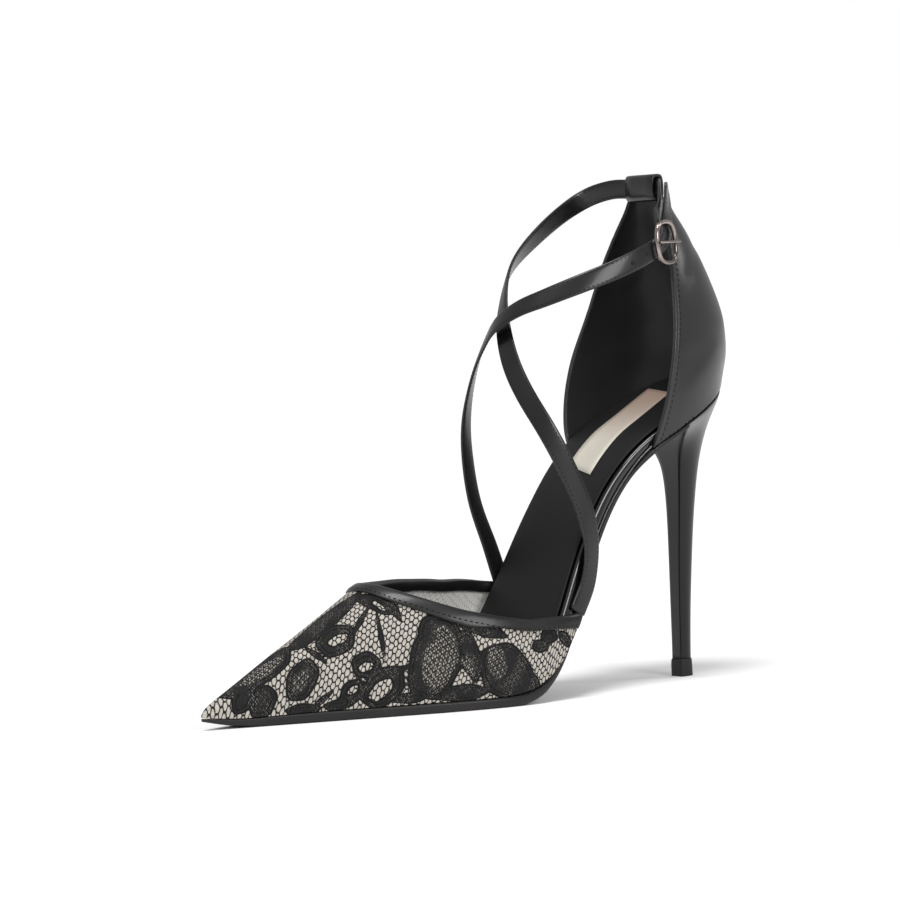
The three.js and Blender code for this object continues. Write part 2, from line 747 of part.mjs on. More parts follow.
// Strap from the outer waist, under the crossing, round the inner ankle to the buckle
const STRAP_OUTER = [
  { across: besideBoard(1, 0.301 * TOE_REACH, GAP), along: 0.305, height: 0.307, face: [1, -0.1, 0] },
  { across: besideBoard(1, 0.297 * TOE_REACH, GAP), along: 0.288, height: 0.362, face: [1, -0.15, 0] },
  { across: besideBoard(1, 0.29 * TOE_REACH, 1.6), along: 0.281, height: 0.43, face: [0.98, -0.2, 0] },
  { across: 0.85, along: 0.281, height: 0.492, face: [0.98, -0.15, 0] },
  { across: 0.864, along: 0.286, height: 0.549, face: [1, 0, 0] },
  { across: 0.86, along: 0.294, height: 0.617, face: [0.98, 0.18, 0.05] },
  { across: 0.81, along: 0.321, height: 0.751, face: [0.92, 0.38, 0.1] },
  { across: 0.7, along: 0.347, height: 0.875, face: [0.8, 0.55, 0.2] },
  { across: 0.475, along: 0.365, height: 0.994, face: [0.62, 0.7, 0.35] },
  { across: 0.237, along: 0.366, height: 1.095, face: [0.35, 0.8, 0.48] },
  { across: 0, along: 0.353, height: 1.2, face: [0, 0.83, 0.56] },
  { across: -0.253, along: 0.325, height: 1.285, face: [-0.4, 0.72, 0.56] },
  { across: -0.538, along: 0.274, height: 1.403, face: [-0.72, 0.5, 0.48] },
  { across: -0.791, along: 0.186, height: 1.505, face: [-0.92, 0.22, 0.3] },
  { across: -0.87, along: 0.106, height: 1.59, face: [-0.97, -0.02, 0.2] },
  { across: -0.79, along: 0.06, height: 1.635, face: [-0.8, -0.55, 0.1] },
  { across: -0.54, along: 0.036, height: 1.654, face: [-0.3, -0.95, 0.02] },
  { across: -0.27, along: KEEPER_ALONG, height: KEEPER_HEIGHT, face: [0, -1, 0] },
  { across: 0.27, along: KEEPER_ALONG, height: KEEPER_HEIGHT, face: [0, -1, 0] },
  { across: 0.42, along: 0.043, height: 1.642, face: [0.35, -0.93, 0] },
  { across: 0.54, along: 0.0565, height: 1.619, face: [0.5, -0.86, 0] },
  { across: 0.64, along: 0.068, height: 1.59, face: [0.56, -0.83, 0] },
  { across: 0.74, along: 0.084, height: 1.563, face: [0.62, -0.78, 0] },
  { across: 0.83, along: 0.101, height: 1.549, face: [0.7, -0.7, 0] },
];

// Strap from the inner waist, over the crossing, through the buckle to its free end
const STRAP_INNER = [
  { across: besideBoard(-1, 0.301 * TOE_REACH, GAP), along: 0.309, height: 0.395, face: [-1, 0.1, 0] },
  { across: besideBoard(-1, 0.301 * TOE_REACH, 1.3), along: 0.322, height: 0.49, face: [-0.97, 0.2, 0] },
  { across: -0.872, along: 0.336, height: 0.59, face: [-0.95, 0.3, 0] },
  { across: -0.886, along: 0.344, height: 0.657, face: [-0.94, 0.33, 0.02] },
  { across: -0.88, along: 0.352, height: 0.765, face: [-0.92, 0.38, 0.05] },
  { across: -0.83, along: 0.358, height: 0.878, face: [-0.87, 0.48, 0.1] },
  { across: -0.74, along: 0.358, height: 0.978, face: [-0.78, 0.6, 0.2] },
  { across: -0.51, along: 0.362, height: 1.09, face: [-0.6, 0.72, 0.35] },
  { across: -0.25, along: 0.368, height: 1.165, face: [-0.35, 0.8, 0.48] },
  { across: 0.03, along: 0.371, height: 1.228, face: [0, 0.83, 0.56] },
  { across: 0.29, along: 0.349, height: 1.276, face: [0.38, 0.75, 0.54] },
  { across: 0.49, along: 0.32, height: 1.303, face: [0.6, 0.65, 0.46] },
  { across: 0.73, along: 0.264, height: 1.345, face: [0.82, 0.5, 0.3] },
  { across: 0.87, along: 0.202, height: 1.384, face: [0.94, 0.3, 0.16] },
  { across: 0.92, along: 0.15, height: 1.42, face: [0.99, 0.0, 0.08] },
  { across: 0.88, along: 0.113, height: 1.446, face: [0.93, -0.35, 0.05] },
  { across: 0.785, along: 0.083, height: 1.47, face: [0.9, -0.44, 0] },
  { across: 0.732, along: 0.066, height: 1.51, face: [0.9, -0.44, 0] },
  { across: 0.705, along: 0.06, height: 1.565, face: [0.88, -0.5, 0] },
  { across: 0.765, along: 0.067, height: 1.66, face: [0.6, -0.8, 0] },
];

// Keeper: a flat loop on top of the counter's tab, round the strap
function makeKeeper() {
  const slotDeep = STRAP_THICK / 2 + 3 * GAP;
  const centre = KEEPER_HEIGHT * SEAT_HEIGHT;
  const lean = KEEPER_ALONG * TOE_REACH;
  const count = 24;
  const oval = (grow, across) => steps(count).slice(0, count).map((share) => {
    const angle = 2 * Math.PI * share;
    const square = (value) => Math.sign(value) * Math.abs(value) ** 0.6;
    const deep = (slotDeep + grow) * square(Math.cos(angle));
    const tall = (KEEPER_SLOT_HALF + grow) * square(Math.sin(angle));
    return at(across, lean + deep, centre + tall);
  });
  const half = KEEPER_LENGTH / 2;
  const rings = [
    oval(KEEPER_WALL, -half),
    oval(KEEPER_WALL, half),
    oval(0, half),
    oval(0, -half),
  ];
  return hoop(rings);
}

// Buckle: a rounded frame that stands against the ankle, with a prong across it
const BUCKLE_CENTRE = { across: 0.862, along: 0.0835, height: 1.466 };
const BUCKLE_FACE = [0.9, -0.44, 0.05];

function buckleAxes() {
  const centre = at(
    BUCKLE_CENTRE.across * BALL_HALF,
    BUCKLE_CENTRE.along * TOE_REACH,
    BUCKLE_CENTRE.height * SEAT_HEIGHT,
  );
  const out = at(...BUCKLE_FACE).normalize();
  const up = new THREE.Vector3(0, 0, 1);
  up.addScaledVector(out, -up.dot(out)).normalize();
  const along = up.clone().cross(out).normalize();
  return { centre, out, up, along };
}

function makeBuckleFrame() {
  const { centre, out, up, along } = buckleAxes();
  const count = 28;
  const rings = steps(count).slice(0, count).map((share) => {
    const angle = 2 * Math.PI * share;
    const square = (value) => Math.sign(value) * Math.abs(value) ** 0.75;
    const x = (BUCKLE_LENGTH / 2) * square(Math.cos(angle));
    const y = (BUCKLE_HEIGHT / 2) * square(Math.sin(angle));
    const middle = centre.clone().addScaledVector(along, x).addScaledVector(up, y);
    const radial = along.clone().multiplyScalar(x).addScaledVector(up, y).normalize();
    return steps(8).slice(0, 8).map((part) => {
      const turn = 2 * Math.PI * part;
      const spot = middle.clone().addScaledVector(radial, (BUCKLE_WIRE / 2) * Math.cos(turn));
      return spot.addScaledVector(out, (BUCKLE_WIRE / 2) * Math.sin(turn));
    });
  });
  return hoop(rings);
}

function makeProng() {
  const { centre, out, along } = buckleAxes();
  const lift = BUCKLE_WIRE / 2 + GAP + PRONG_WIRE / 2;
  const rings = steps(8).map((share) => {
    const x = (share - 0.5) * (BUCKLE_LENGTH + BUCKLE_WIRE * 0.6);
    const middle = centre.clone().addScaledVector(along, x).addScaledVector(out, lift);
    return steps(8).slice(0, 8).map((part) => {
      const turn = 2 * Math.PI * part;
      const spot = middle.clone();
      spot.addScaledVector(out, (PRONG_WIRE / 2) * Math.cos(turn));
      return spot.add(new THREE.Vector3(0, 0, (PRONG_WIRE / 2) * Math.sin(turn)));
    });
  });
  return loft(rings);
}

// Assembly
const shoe = new THREE.Group();

function add(name, geometry, finish) {
  const mesh = new THREE.Mesh(geometry, new THREE.MeshStandardMaterial(finish));
  mesh.name = name;
  shoe.add(mesh);
}

add('outsole', makeOutsole(), RUBBER);
add('insole_board', makeBoard(), GLOSS);
add('insole_sock', makeSock(), MATT);
add('vamp', makeVamp(), LACE);
add('vamp_binding', makeBinding(), LEATHER);
add('counter', makeCounter(), LEATHER);
add('heel', makeHeel(), LEATHER);
add('heel_top_piece', makeTopPiece(), RUBBER);
add('strap_outer_rise', ribbon(STRAP_OUTER, STRAP_WIDTH, STRAP_THICK, 66), LEATHER);
add('strap_inner_rise', ribbon(STRAP_INNER, STRAP_WIDTH, STRAP_THICK, 62), LEATHER);
add('strap_keeper', makeKeeper(), LEATHER);
add('buckle_frame', makeBuckleFrame(), METAL);
add('buckle_prong', makeProng(), METAL);

export default shoe;
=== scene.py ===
# %% [markdown]
# A black pointed stiletto shoe. The solid model already gives every piece its
# place and size, so this lesson only dresses it: the faceted solids become
# smooth skins, the vamp gets its lace, and thread, label and creases are added.

# %% Load the solid model
import math

import bmesh
import bpy
import numpy as np
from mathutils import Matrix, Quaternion, Vector
from mathutils.bvhtree import BVHTree


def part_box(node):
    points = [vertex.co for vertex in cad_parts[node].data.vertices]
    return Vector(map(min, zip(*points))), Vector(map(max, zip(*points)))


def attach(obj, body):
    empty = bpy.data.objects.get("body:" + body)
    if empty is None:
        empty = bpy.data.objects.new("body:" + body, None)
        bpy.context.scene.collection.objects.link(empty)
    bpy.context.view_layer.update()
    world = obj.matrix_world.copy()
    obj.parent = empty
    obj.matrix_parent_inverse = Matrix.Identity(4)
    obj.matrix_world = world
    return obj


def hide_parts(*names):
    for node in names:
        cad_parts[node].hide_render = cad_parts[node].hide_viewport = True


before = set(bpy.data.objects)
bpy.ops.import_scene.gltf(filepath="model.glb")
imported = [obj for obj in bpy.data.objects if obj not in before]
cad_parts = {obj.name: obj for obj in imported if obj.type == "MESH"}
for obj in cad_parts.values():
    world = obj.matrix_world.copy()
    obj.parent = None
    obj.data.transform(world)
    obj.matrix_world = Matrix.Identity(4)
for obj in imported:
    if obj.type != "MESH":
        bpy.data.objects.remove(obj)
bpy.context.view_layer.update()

MM = 0.001

# %% [markdown]
# The camera looks at the outer side of the shoe from a little in front of it.
# A long lens keeps the heel and the toe in proportion, as in a catalogue
# picture, and a small roll puts the floor at the picture's own slant.

# %% Camera
LOOK_AT = Vector((0, -0.090, 0.080))
CAMERA_AWAY = 1.55508
CAMERA_TURN = math.radians(33.21)
CAMERA_LIFT = math.radians(2.85)
CAMERA_ROLL = math.radians(-3.11)
LENS = 177.28
SENSOR = 36.0
PICTURE = 900
SHIFT_ACROSS, SHIFT_UP = -12.66, 23.91


def make_camera():
    data = bpy.data.cameras.new("camera")
    camera = bpy.data.objects.new("camera", data)
    bpy.context.scene.collection.objects.link(camera)
    back = Vector((
        math.cos(CAMERA_TURN) * math.cos(CAMERA_LIFT),
        -math.sin(CAMERA_TURN) * math.cos(CAMERA_LIFT),
        math.sin(CAMERA_LIFT),
    ))
    camera.location = LOOK_AT + back * CAMERA_AWAY
    camera.rotation_mode = "QUATERNION"
    roll = Quaternion((0, 0, 1), CAMERA_ROLL)
    camera.rotation_quaternion = (-back).to_track_quat("-Z", "Y") @ roll
    data.sensor_width = SENSOR
    data.lens = LENS
    data.shift_x = SHIFT_ACROSS / PICTURE
    data.shift_y = SHIFT_UP / PICTURE
    data.clip_start, data.clip_end = 0.05, 50
    bpy.context.scene.camera = camera
    return camera


camera = make_camera()
print("camera stands at", [round(v, 3) for v in camera.location])

# %% [markdown]
# Shader maths reads best as ordinary sums. This small class wraps a socket, so
# that 1 - mask or a * b adds the Math node by itself, and one method makes any
# other node from its settings and inputs.

# %% Shader helper


class Wire:
    """A socket of a node tree, with the usual operators."""

    def __init__(self, tree, socket):
        self.tree, self.socket = tree, socket

    def math(self, operation, *others):
        node = self.tree.nodes.new("ShaderNodeMath")
        node.operation = operation
        for slot, value in zip(node.inputs, (self, *others)):
            plug(self.tree, slot, value)
        return Wire(self.tree, node.outputs[0])

    def __add__(self, other):
        return self.math("ADD", other)

    def __sub__(self, other):
        return self.math("SUBTRACT", other)

    def __mul__(self, other):
        return self.math("MULTIPLY", other)

    def __rsub__(self, other):
        return (self * -1.0) + other

    __radd__ = __add__
    __rmul__ = __mul__

    def ramp(self, low, high):
        """0 below low, 1 above high, smooth between."""
        node = self.tree.nodes.new("ShaderNodeMapRange")
        node.interpolation_type = "SMOOTHSTEP"
        for name, value in (("Value", self), ("From Min", low), ("From Max", high)):
            plug(self.tree, node.inputs[name], value)
        return Wire(self.tree, node.outputs[0])


def plug(tree, slot, value):
    if isinstance(value, Wire):
        tree.links.new(value.socket, slot)
    elif hasattr(slot, "default_value"):
        slot.default_value = value


class Finish:
    """A material with one Principled BSDF and short calls for its other nodes."""

    def __init__(self, name):
        self.material = bpy.data.materials.new(name)
        self.material.use_nodes = True
        self.tree = self.material.node_tree
        self.skin = self.tree.nodes["Principled BSDF"]

    def node(self, kind, settings=None, output=0, **inputs):
        node = self.tree.nodes.new("ShaderNode" + kind)
        for key, value in (settings or {}).items():
            setattr(node, key, value)
        for key, value in inputs.items():
            plug(self.tree, node.inputs[key.replace("_", " ")], value)
        return Wire(self.tree, node.outputs[output])

    def place(self):
        return self.node("TexCoord", output="Object")

    def noise(self, scale, detail=3.0, at=None, stretch=None):
        where = at or self.place()
        if stretch:
            where = self.node("Mapping", Vector=where, Scale=stretch)
        return self.node("TexNoise", Vector=where, Scale=scale, Detail=detail)

    def mix(self, factor, low, high):
        node = self.tree.nodes.new("ShaderNodeMix")
        node.data_type = "RGBA"
        for slot, value in ((node.inputs[0], factor), (node.inputs[6], low), (node.inputs[7], high)):
            plug(self.tree, slot, value)
        return Wire(self.tree, node.outputs[2])

    def set(self, **inputs):
        for key, value in inputs.items():
            plug(self.tree, self.skin.inputs[key.replace("_", " ")], value)
        return self

    def bump(self, height, strength, distance):
        return self.set(Normal=self.node("Bump", Height=height, Strength=strength, Distance=distance))


def rgb(*values):
    """A colour from the 0 to 255 values that a picture shows."""
    linear = [((v / 255 + 0.055) / 1.055) ** 2.4 if v > 10 else v / 255 / 12.92 for v in values]
    return (*linear, 1)


print("shader helper ready")

# %% [markdown]
# The leather is smooth and satin black. Fine grain is a weak bump, and slow
# noise moves the roughness a little, so that the gloss breaks up as on a skin.

# %% Leather, rubber and metal finishes


def leather(name, dark, light, rough, grain=0.12, coat=0.0, mirror=0.35):
    finish = Finish(name)
    slow = finish.noise(45, detail=4)
    fine = finish.noise(1500, detail=2)
    colour = finish.mix(slow.ramp(0.35, 0.7), rgb(*dark), rgb(*light))
    finish.set(Base_Color=colour, Roughness=slow * 0.12 + (rough - 0.06))
    finish.set(Coat_Weight=coat, Coat_Roughness=0.12, Specular_IOR_Level=mirror)
    pores = finish.noise(420, detail=5)
    finish.bump(fine * 0.5 + pores, grain, 0.0002)
    return finish.material


SATIN = leather("satin_leather", (17, 17, 18), (25, 24, 25), 0.36, coat=0.12)
HEEL_SKIN = leather("heel_leather", (9, 9, 10), (14, 14, 14), 0.3, grain=0.07, coat=0.12, mirror=0.25)
STRAP_SKIN = leather("strap_leather", (13, 13, 14), (22, 21, 22), 0.31, grain=0.15, coat=0.15, mirror=0.4)
WAIST_SKIN = leather("waist_leather", (9, 9, 10), (13, 13, 14), 0.16, grain=0.04, coat=0.6)
SOCK_SKIN = leather("sock_leather", (14, 14, 15), (20, 20, 21), 0.58, grain=0.12, mirror=0.25)
SOLE_SKIN = leather("sole_leather", (24, 22, 22), (34, 31, 31), 0.34, grain=0.1)
RUBBER_SKIN = leather("top_piece_rubber", (24, 22, 22), (32, 30, 30), 0.55, grain=0.2)


def thread(name, colour):
    finish = Finish(name)
    finish.set(Base_Color=rgb(*colour), Roughness=0.6, Specular_IOR_Level=0.3)
    return finish.material


THREAD = thread("black_thread", (6, 6, 6))


def metal():
    finish = Finish("gunmetal")
    slow = finish.noise(60, detail=3)
    colour = finish.mix(slow.ramp(0.4, 0.65), rgb(118, 108, 106), rgb(158, 146, 142))
    finish.set(Base_Color=colour, Metallic=1.0, Roughness=slow * 0.1 + 0.07)
    return finish.material


METAL = metal()
print("finishes made")

# %% [markdown]
# A solid from the model is loose triangles. A copy of it is welded, its
# triangles are paired into four sided faces, its true edges are creased, and a
# Subdivision Surface modifier rounds what is left. The model stays untouched.

# %% Smooth skins


def welded(node):
    mesh = bmesh.new()
    mesh.from_mesh(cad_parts[node].data)
    bmesh.ops.remove_doubles(mesh, verts=mesh.verts, dist=0.00002)
    bmesh.ops.join_triangles(
        mesh, faces=mesh.faces, angle_face_threshold=math.radians(60), angle_shape_threshold=math.radians(60),
    )
    return mesh


def piece(name, mesh, material):
    data = bpy.data.meshes.new(name)
    mesh.to_mesh(data)
    mesh.free()
    data.materials.append(material)
    for face in data.polygons:
        face.use_smooth = True
    thing = bpy.data.objects.new(name, data)
    bpy.context.scene.collection.objects.link(thing)
    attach(thing, "root")
    return thing


def crease_edges(mesh, sharp, amount):
    crease = mesh.edges.layers.float.get("crease_edge") or mesh.edges.layers.float.new("crease_edge")
    for edge in mesh.edges:
        if len(edge.link_faces) == 2 and edge.calc_face_angle(0) > math.radians(sharp):
            edge[crease] = amount


def rounded(thing, levels):
    smooth = thing.modifiers.new("round", "SUBSURF")
    smooth.levels = smooth.render_levels = levels
    return thing


def raise_top(mesh, amount):
    """Lifts the topmost points of a piece, to close a narrow joint above it."""
    top = max(vertex.co.z for vertex in mesh.verts)
    for vertex in mesh.verts:
        if vertex.co.z > top - 0.3 * MM:
            vertex.co.z += amount


def skin(node, name, material, sharp=35, amount=0.75, levels=2, lift=0.0):
    mesh = welded(node)
    raise_top(mesh, lift)
    crease_edges(mesh, sharp, amount)
    thing = rounded(piece(name, mesh, material), levels)
    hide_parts(node)
    return thing


skin("outsole", "sole", SOLE_SKIN, sharp=40, amount=0.6)
skin("insole_board", "waist_cover", WAIST_SKIN, sharp=60, amount=0.3)
sock = skin("insole_sock", "sock", SOCK_SKIN, sharp=40, amount=0.5)
skin("heel", "heel_cover", HEEL_SKIN, sharp=45, amount=0.8)
skin("heel_top_piece", "top_lift", RUBBER_SKIN, sharp=45, amount=0.9, lift=0.5 * MM)
binding = skin("vamp_binding", "binding", SATIN, sharp=50, amount=0.5)
skin("strap_keeper", "keeper", STRAP_SKIN, sharp=60, amount=0.6)
skin("buckle_frame", "buckle", METAL, sharp=80, amount=0)
skin("buckle_prong", "prong", METAL, sharp=80, amount=0.2)

# %% [markdown]
# The vamp is a pale lining under black floral lace. A net needs a place on the
# cloth, so every point of the vamp gets two numbers in millimetres: how far back
# it is, and how far round it is from the ridge. They are kept as an attribute.

# %% Places on the vamp
RIDGE_SECTIONS = [
    {"back": 60, "middle": 0, "base": 33, "half": 30, "crown": 56},
    {"back": 65, "middle": 0, "base": 25, "half": 31, "crown": 56},
    {"back": 70, "middle": 0, "base": 17, "half": 32, "crown": 56},
    {"back": 75, "middle": -0.3, "base": 11.5, "half": 32, "crown": 56},
    {"back": 80, "middle": -0.5, "base": 7, "half": 32, "crown": 54},
    {"back": 88, "middle": -0.8, "base": 4, "half": 32, "crown": 52},
    {"back": 100, "middle": -1.5, "base": 3.5, "half": 32, "crown": 48},
    {"back": 120, "middle": -4, "base": 3.5, "half": 27, "crown": 43},
    {"back": 140, "middle": -8, "base": 3.5, "half": 21, "crown": 34},
    {"back": 160, "middle": -11, "base": 3.5, "half": 16, "crown": 24},
    {"back": 180, "middle": -13.5, "base": 3, "half": 9, "crown": 14},
    {"back": 197, "middle": -15, "base": 3, "half": 4, "crown": 5},
]


def section(key, back):
    return np.interp(back, [row["back"] for row in RIDGE_SECTIONS], [row[key] for row in RIDGE_SECTIONS])


def cloth_place(points):
    """Back and round, in millimetres, for points in metres."""
    x, back, z = points[:, 0] / MM, -points[:, 1] / MM, points[:, 2] / MM
    half, crown = section("half", back), section("crown", back)
    lean = (x - section("middle", back)) / half
    rise = np.maximum(z - section("base", back), 0) / crown
    return np.stack([back, np.arctan2(lean, rise) * (half + crown) / 2, 0 * back], axis=1)


def corners_of(data):
    points = np.empty(3 * len(data.vertices), dtype=np.float32)
    data.vertices.foreach_get("co", points)
    return points.reshape(-1, 3)


def mark(data, name, values, kind="FLOAT"):
    layer = data.attributes.new(name, kind, "POINT")
    field = "vector" if kind == "FLOAT_VECTOR" else "value"
    layer.data.foreach_set(field, np.ascontiguousarray(values, dtype=np.float32).ravel())


print("ridge at the ball in mm", section("base", 100) + section("crown", 100))

# %% [markdown]
# The net is a field of six sided holes. Two square lattices, one shifted by half
# a step, share the plane between them, and the nearer centre of the two gives
# the hexagon that a point is in. Near its edge lies the thread.

# %% Net and lace finishes
HOLE = 1.7
ROOT3 = 3 ** 0.5


def net_mask(finish, place, hole, thread):
    """1 on the thread of a six sided net, 0 in its holes."""
    step = finish.node("VectorMath", {"operation": "SCALE"}, Vector=place, Scale=1 / hole)
    split = finish.tree.nodes.new("ShaderNodeSeparateXYZ")
    plug(finish.tree, split.inputs[0], step)
    x, y = (Wire(finish.tree, split.outputs[i]) for i in (0, 1))
    near = [(x.math("FLOORED_MODULO", 1.0) - 0.5, y.math("FLOORED_MODULO", ROOT3) - ROOT3 / 2)]
    near.append(((x - 0.5).math("FLOORED_MODULO", 1.0) - 0.5,
                 (y - ROOT3 / 2).math("FLOORED_MODULO", ROOT3) - ROOT3 / 2))
    (ax, ay), (bx, by) = near
    first = (ax * ax + ay * ay).math("LESS_THAN", bx * bx + by * by)
    across = (ax * first + bx * (1 - first)).math("ABSOLUTE")
    along = (ay * first + by * (1 - first)).math("ABSOLUTE")
    edge = across.math("MAXIMUM", across * 0.5 + along * (ROOT3 / 2))
    return edge.ramp(0.5 - thread - 0.05, 0.5 - thread + 0.03)


def loose(finish, place, amount):
    """The same place, pulled about a little as in a hand laid cloth."""
    drift = finish.node("TexNoise", output=1, Vector=place, Scale=0.45, Detail=2.0)
    pull = finish.node("VectorMath", {"operation": "MULTIPLY_ADD"}, Vector=drift)
    node = pull.socket.node
    node.inputs[1].default_value = (amount, amount, 0)
    plug(finish.tree, node.inputs[2], place)
    return pull


def attribute(finish, name, output):
    return finish.node("Attribute", {"attribute_name": name}, output=output)


LINING_COLOUR = rgb(254, 252, 248)
NET_BLACK = rgb(24, 23, 24)
MOTIF_BLACK = rgb(12, 12, 12)


def lining_material():
    finish = Finish("pale_lining")
    cloth = loose(finish, attribute(finish, "cloth", 1), 0.9)
    net = net_mask(finish, cloth, HOLE, 0.07)
    weave = finish.noise(900, detail=3)
    pale = finish.mix(weave.ramp(0.3, 0.7), rgb(248, 246, 242), LINING_COLOUR)
    finish.set(Base_Color=finish.mix(net * 0.55, pale, rgb(176, 172, 166)), Roughness=0.75)
    finish.bump(net + weave * 0.3, 0.3, 0.0002)
    return finish.material


def lace_material():
    finish = Finish("floral_lace")
    cloth = loose(finish, attribute(finish, "cloth", 1), 1.0)
    petal = attribute(finish, "petal", 2)
    window = attribute(finish, "window", 2)
    sparse = attribute(finish, "sparse", 2)
    fray = (finish.noise(1300, detail=2) - 0.5) * 0.5
    wide_net = net_mask(finish, cloth, HOLE, 0.10)
    tight_net = net_mask(finish, cloth, HOLE * 0.52, 0.17)
    fine_net = net_mask(finish, cloth, HOLE * 0.4, 0.24)
    patchy = finish.noise(0.16, detail=3, at=cloth).ramp(0.45, 0.62)
    worked = 1 - (petal + fray).ramp(-0.12, 0.12)
    open_part = 1 - (window + fray).ramp(-0.12, 0.12)
    half_part = 1 - (sparse + fray).ramp(-0.5, 0.5)
    thin = (half_part * (1 - tight_net) * 0.66).math("MAXIMUM", (1 - fine_net) * patchy * 0.4)
    dense = worked * (1 - open_part) * (1 - thin)
    cord = 1 - petal.math("ABSOLUTE").ramp(0.22, 0.45)
    inner_cord = 1 - window.math("ABSOLUTE").ramp(0.2, 0.42)
    vein = 1 - (petal + 1.5).math("ABSOLUTE").ramp(0.08, 0.24)
    outline = cord.math("MAXIMUM", (inner_cord.math("MAXIMUM", vein) * worked))
    black = wide_net.math("MAXIMUM", dense).math("MAXIMUM", outline)
    strands = finish.noise(1.0, detail=2, at=cloth, stretch=(1.6, 8.0, 1.0))
    motif = finish.mix(strands.ramp(0.35, 0.7), MOTIF_BLACK, rgb(40, 38, 38))
    motif = finish.mix(outline, motif, rgb(7, 7, 7))
    thread_colour = finish.mix(worked, NET_BLACK, motif)
    weave = finish.noise(900, detail=3)
    pale = finish.mix(weave.ramp(0.3, 0.7), rgb(166, 161, 153), rgb(188, 182, 173))
    finish.set(Base_Color=finish.mix(black, pale, thread_colour), Roughness=0.72, Specular_IOR_Level=0.25)
    relief = wide_net * 0.4 + dense * 0.5 + outline * 1.1 + strands * dense * 0.4
    finish.bump(relief, 0.85, 0.0005)
    return finish.material


print("lace finishes made")

# %% [markdown]
# Each motif is an oval patch of close work, some with an open window or a
# sparse heart. A motif is placed on the 900 by 900 picture, across from its
# left edge and down from its top, then carried straight back onto the vamp.
# Its half sizes are in the same steps. Its mirror twin lies on the inner side.
# What is stored is the distance to the patch's edge, because a distance stays
# sharp between the points of the mesh.

# %% Motifs
PETAL, WINDOW, SPARSE = "petal", "window", "sparse"
MOTIFS = [
    {"kind": PETAL, "across": 252, "down": 674, "long": 46, "wide": 13, "turn": 31},
    {"kind": SPARSE, "across": 262, "down": 671, "long": 26, "wide": 4.5, "turn": 33},
    {"kind": PETAL, "across": 243, "down": 699, "long": 15.5, "wide": 9.5, "turn": 60},
    {"kind": PETAL, "across": 263, "down": 702, "long": 17, "wide": 12, "turn": 60},
    {"kind": PETAL, "across": 302, "down": 680, "long": 22, "wide": 14, "turn": 62},
    {"kind": SPARSE, "across": 301, "down": 681, "long": 12, "wide": 6, "turn": 62},
    {"kind": PETAL, "across": 325, "down": 621, "long": 46, "wide": 6, "turn": 38},
    {"kind": PETAL, "across": 336, "down": 640, "long": 20, "wide": 14, "turn": 25},
    {"kind": WINDOW, "across": 338, "down": 640, "long": 11, "wide": 5, "turn": 25},
    {"kind": PETAL, "across": 375, "down": 603, "long": 22, "wide": 7, "turn": -25},
    {"kind": PETAL, "across": 366, "down": 665, "long": 14, "wide": 13, "turn": 0},
    {"kind": WINDOW, "across": 366, "down": 667, "long": 8, "wide": 5, "turn": 20},
    {"kind": PETAL, "across": 383, "down": 687, "long": 25, "wide": 17, "turn": 42},
    {"kind": WINDOW, "across": 381, "down": 690, "long": 15, "wide": 8, "turn": 42},
    {"kind": PETAL, "across": 352, "down": 692, "long": 14, "wide": 10, "turn": 50},
    {"kind": WINDOW, "across": 353, "down": 690, "long": 7, "wide": 4, "turn": 40},
    {"kind": PETAL, "across": 436, "down": 660, "long": 40, "wide": 26, "turn": 72},
    {"kind": SPARSE, "across": 440, "down": 662, "long": 27, "wide": 17, "turn": 75},
    {"kind": PETAL, "across": 440, "down": 632, "long": 22, "wide": 16, "turn": -20},
    {"kind": SPARSE, "across": 446, "down": 638, "long": 14, "wide": 8, "turn": -60},
    {"kind": PETAL, "across": 470, "down": 655, "long": 26, "wide": 10, "turn": -75},
    {"kind": SPARSE, "across": 468, "down": 668, "long": 12, "wide": 5, "turn": -70},
    {"kind": PETAL, "across": 507, "down": 672, "long": 30, "wide": 24, "turn": -60},
    {"kind": SPARSE, "across": 497, "down": 662, "long": 17, "wide": 9, "turn": -80},
    {"kind": PETAL, "across": 524, "down": 682, "long": 18, "wide": 13, "turn": -50},
    {"kind": PETAL, "across": 462, "down": 693, "long": 26, "wide": 8, "turn": 5},
    {"kind": PETAL, "across": 540, "down": 646, "long": 8, "wide": 6, "turn": 0},
    {"kind": PETAL, "across": 549, "down": 636, "long": 8, "wide": 7, "turn": 0},
    {"kind": PETAL, "across": 484, "down": 630, "long": 24, "wide": 6, "turn": -15},
    {"kind": PETAL, "across": 303, "down": 710, "long": 17, "wide": 6, "turn": 5},
    {"kind": PETAL, "across": 338, "down": 705, "long": 14, "wide": 5, "turn": 8},
    {"kind": PETAL, "across": 410, "down": 698, "long": 16, "wide": 5, "turn": 5},
    {"kind": PETAL, "across": 565, "down": 639, "long": 8.5, "wide": 4.5, "turn": -60},
    {"kind": PETAL, "across": 381, "down": 636, "long": 26, "wide": 2, "turn": -80},
    {"kind": PETAL, "across": 400, "down": 669, "long": 16, "wide": 2.3, "turn": 15},
    {"kind": PETAL, "across": 322, "down": 700, "long": 14, "wide": 2.5, "turn": 40},
    {"kind": PETAL, "across": 394, "down": 609, "long": 14, "wide": 3.5, "turn": -60},
    {"kind": PETAL, "across": 360, "down": 622, "long": 18.5, "wide": 2.3, "turn": 60},
    {"kind": PETAL, "across": 316, "down": 655, "long": 14, "wide": 2.3, "turn": -35},
    {"kind": WINDOW, "across": 379, "down": 606, "long": 8.5, "wide": 2.5, "turn": -35},
]
FAR = 9.0
LACE_LIFT = 0.18 * MM
CLOTH_SEEN = (406, 651)
OVAL_REACH = 14


def picture_axes():
    rotation = camera.rotation_quaternion
    return rotation @ Vector((1, 0, 0)), rotation @ Vector((0, 1, 0))


PIXEL = CAMERA_AWAY * SENSOR / LENS / PICTURE


